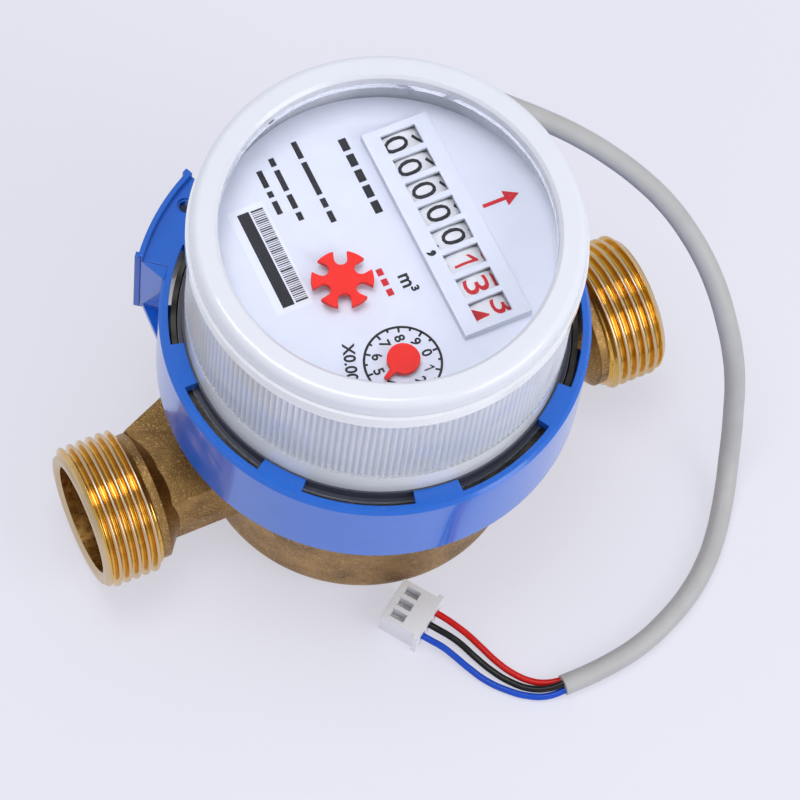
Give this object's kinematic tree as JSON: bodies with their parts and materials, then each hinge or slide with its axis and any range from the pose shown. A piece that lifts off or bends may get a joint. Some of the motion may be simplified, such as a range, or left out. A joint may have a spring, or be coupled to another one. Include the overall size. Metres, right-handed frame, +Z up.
{
  "type": "water meter",
  "caption": "Domestic single-jet water meter: cast brass body with threaded pipe ends, clear dry register with geared roller counter, snap collar and a sensor lead with plug.",
  "frame": {"origin": "middle of the cup's foot, on the floor", "axes": "+X from inlet to outlet along the pipe, +Z up through the register"},
  "size_m": [0.1187, 0.0978, 0.0861],
  "materials": {
    "cast_brass": "sand cast, machined threads and rim",
    "bridge_brass": "stamped",
    "pivot_steel": "ground",
    "tinned_contact": "tin plated",
    "ferrite": "sintered",
    "blue_plastic": "moulded gloss",
    "clear_plastic": "clear moulded",
    "white_gloss": "moulded gloss",
    "white_plastic": "moulded satin",
    "dial_white": "printed satin",
    "roller_white": "printed satin",
    "red_plastic": "moulded",
    "grey_plastic": "moulded",
    "black_plastic": "moulded",
    "natural_plastic": "moulded",
    "pinion_orange": "moulded",
    "ivory_plastic": "moulded satin",
    "board_green": "solder mask",
    "black_rubber": "moulded",
    "grey_jacket": "extruded satin",
    "red_jacket": "extruded gloss",
    "black_jacket": "extruded gloss",
    "blue_jacket": "extruded gloss"
  },
  "bodies": {
    "meter_body": {"brass_body": "cast_brass", "inlet_strainer": "black_plastic", "impeller_pivot": "pivot_steel", "chamber_cover": "grey_plastic", "cover_o_ring": "black_rubber", "register_gasket": "black_rubber", "snap_ring": "blue_plastic"},
    "impeller_set": {"impeller": "natural_plastic", "impeller_magnet": "ferrite"},
    "register": {"register_base": "grey_plastic", "movement_can": "white_plastic", "gear_frame": "natural_plastic", "train_bridge": "bridge_brass", "sensor_board": "board_green", "roller_shaft": "pivot_steel", "pinion_shaft": "pivot_steel", "dial_plate": "dial_white", "clear_cover": "clear_plastic", "bezel_ring": "white_gloss", "cable_gland": "black_rubber", "cable": "grey_jacket", "wire_red": "red_jacket", "wire_black": "black_jacket", "wire_blue": "blue_jacket", "plug_housing": "ivory_plastic", "plug_terminals": "tinned_contact"},
    "drive_set": {"drive_arbor": "natural_plastic", "drive_magnet": "ferrite"},
    "star_set": {"star_arbor": "natural_plastic", "star_wheel": "red_plastic"},
    "transfer_set": {"transfer_arbor": "natural_plastic"},
    "pointer_set": {"pointer_arbor": "natural_plastic", "pointer_needle": "red_plastic", "sensor_magnet": "pivot_steel"},
    "worm_set": {"worm_arbor": "natural_plastic"},
    "roller_1_set": {"roller_1": "roller_white"},
    "roller_2_set": {"roller_2": "roller_white"},
    "roller_3_set": {"roller_3": "roller_white"},
    "roller_4_set": {"roller_4": "roller_white"},
    "roller_5_set": {"roller_5": "roller_white"},
    "roller_6_set": {"roller_6": "roller_white"},
    "roller_7_set": {"roller_7": "roller_white"},
    "roller_8_set": {"roller_8": "roller_white"},
    "carry_pinion_1_set": {"carry_pinion_1": "pinion_orange"},
    "carry_pinion_2_set": {"carry_pinion_2": "pinion_orange"},
    "carry_pinion_3_set": {"carry_pinion_3": "pinion_orange"},
    "carry_pinion_4_set": {"carry_pinion_4": "pinion_orange"},
    "carry_pinion_5_set": {"carry_pinion_5": "pinion_orange"},
    "carry_pinion_6_set": {"carry_pinion_6": "pinion_orange"},
    "carry_pinion_7_set": {"carry_pinion_7": "pinion_orange"}
  },
  "joints": [
    {"name": "register_turn", "type": "hinge", "parent": "meter_body", "child": "register", "pos_m": [0, 0, 0.05095], "axis": [0, 0, 1], "range_deg": [-30, 30]},
    {"name": "impeller_spin", "type": "hinge", "parent": "meter_body", "child": "impeller_set", "pos_m": [0, 0, 0.016], "axis": [0, 0, 1], "continuous": true},
    {"name": "drive_spin", "type": "hinge", "parent": "register", "child": "drive_set", "pos_m": [0, 0, 0.056], "axis": [0, 0, 1], "continuous": true},
    {"name": "star_spin", "type": "hinge", "parent": "register", "child": "star_set", "pos_m": [-0.0092, -0.0026, 0.065], "axis": [0, 0, 1], "continuous": true},
    {"name": "transfer_spin", "type": "hinge", "parent": "register", "child": "transfer_set", "pos_m": [-0.012, -0.0125, 0.057], "axis": [0, 0, 1], "continuous": true},
    {"name": "pointer_spin", "type": "hinge", "parent": "register", "child": "pointer_set", "pos_m": [-0.0059, -0.0193, 0.065], "axis": [0, 0, 1], "continuous": true},
    {"name": "worm_spin", "type": "hinge", "parent": "register", "child": "worm_set", "pos_m": [0.0036, -0.02104, 0.062], "axis": [0, 0, 1], "continuous": true},
    {"name": "roller_1_spin", "type": "hinge", "parent": "register", "child": "roller_1_set", "pos_m": [0.0112, 0.01761, 0.06835], "axis": [0, 1, 0], "continuous": true},
    {"name": "roller_2_spin", "type": "hinge", "parent": "register", "child": "roller_2_set", "pos_m": [0.0112, 0.01275, 0.06835], "axis": [0, 1, 0], "continuous": true},
    {"name": "roller_3_spin", "type": "hinge", "parent": "register", "child": "roller_3_set", "pos_m": [0.0112, 0.00789, 0.06835], "axis": [0, 1, 0], "continuous": true},
    {"name": "roller_4_spin", "type": "hinge", "parent": "register", "child": "roller_4_set", "pos_m": [0.0112, 0.00303, 0.06835], "axis": [0, 1, 0], "continuous": true},
    {"name": "roller_5_spin", "type": "hinge", "parent": "register", "child": "roller_5_set", "pos_m": [0.0112, -0.00183, 0.06835], "axis": [0, 1, 0], "continuous": true},
    {"name": "roller_6_spin", "type": "hinge", "parent": "register", "child": "roller_6_set", "pos_m": [0.0112, -0.00669, 0.06835], "axis": [0, 1, 0], "continuous": true},
    {"name": "roller_7_spin", "type": "hinge", "parent": "register", "child": "roller_7_set", "pos_m": [0.0112, -0.01155, 0.06835], "axis": [0, 1, 0], "continuous": true},
    {"name": "roller_8_spin", "type": "hinge", "parent": "register", "child": "roller_8_set", "pos_m": [0.0112, -0.01641, 0.06835], "axis": [0, 1, 0], "continuous": true},
    {"name": "carry_pinion_1_spin", "type": "hinge", "parent": "register", "child": "carry_pinion_1_set", "pos_m": [0.0112, 0.01518, 0.05855], "axis": [0, 1, 0], "continuous": true},
    {"name": "carry_pinion_2_spin", "type": "hinge", "parent": "register", "child": "carry_pinion_2_set", "pos_m": [0.0112, 0.01032, 0.05855], "axis": [0, 1, 0], "continuous": true},
    {"name": "carry_pinion_3_spin", "type": "hinge", "parent": "register", "child": "carry_pinion_3_set", "pos_m": [0.0112, 0.00546, 0.05855], "axis": [0, 1, 0], "continuous": true},
    {"name": "carry_pinion_4_spin", "type": "hinge", "parent": "register", "child": "carry_pinion_4_set", "pos_m": [0.0112, 0.0006, 0.05855], "axis": [0, 1, 0], "continuous": true},
    {"name": "carry_pinion_5_spin", "type": "hinge", "parent": "register", "child": "carry_pinion_5_set", "pos_m": [0.0112, -0.00426, 0.05855], "axis": [0, 1, 0], "continuous": true},
    {"name": "carry_pinion_6_spin", "type": "hinge", "parent": "register", "child": "carry_pinion_6_set", "pos_m": [0.0112, -0.00912, 0.05855], "axis": [0, 1, 0], "continuous": true},
    {"name": "carry_pinion_7_spin", "type": "hinge", "parent": "register", "child": "carry_pinion_7_set", "pos_m": [0.0112, -0.01398, 0.05855], "axis": [0, 1, 0], "continuous": true}
  ],
  "couplings": [
    {"joint": "drive_spin", "follows": "impeller_spin", "ratio": 1},
    {"joint": "star_spin", "follows": "impeller_spin", "ratio": -0.25},
    {"joint": "transfer_spin", "follows": "impeller_spin", "ratio": 0.1},
    {"joint": "pointer_spin", "follows": "impeller_spin", "ratio": -0.05},
    {"joint": "worm_spin", "follows": "impeller_spin", "ratio": 0.05},
    {"joint": "roller_8_spin", "follows": "impeller_spin", "ratio": 0.005},
    {"joint": "roller_7_spin", "follows": "impeller_spin", "ratio": 0.0005},
    {"joint": "roller_6_spin", "follows": "impeller_spin", "ratio": 0.00005},
    {"joint": "roller_5_spin", "follows": "impeller_spin", "ratio": 0.000005},
    {"joint": "roller_4_spin", "follows": "impeller_spin", "ratio": 0.0000005},
    {"joint": "roller_3_spin", "follows": "impeller_spin", "ratio": 0.00000005},
    {"joint": "roller_2_spin", "follows": "impeller_spin", "ratio": 0.000000005},
    {"joint": "roller_1_spin", "follows": "impeller_spin", "ratio": 0.0000000005},
    {"joint": "carry_pinion_7_spin", "follows": "impeller_spin", "ratio": -0.00125},
    {"joint": "carry_pinion_6_spin", "follows": "impeller_spin", "ratio": -0.000125},
    {"joint": "carry_pinion_5_spin", "follows": "impeller_spin", "ratio": -0.0000125},
    {"joint": "carry_pinion_4_spin", "follows": "impeller_spin", "ratio": -0.00000125},
    {"joint": "carry_pinion_3_spin", "follows": "impeller_spin", "ratio": -0.000000125},
    {"joint": "carry_pinion_2_spin", "follows": "impeller_spin", "ratio": -0.0000000125},
    {"joint": "carry_pinion_1_spin", "follows": "impeller_spin", "ratio": -0.00000000125}
  ]
}
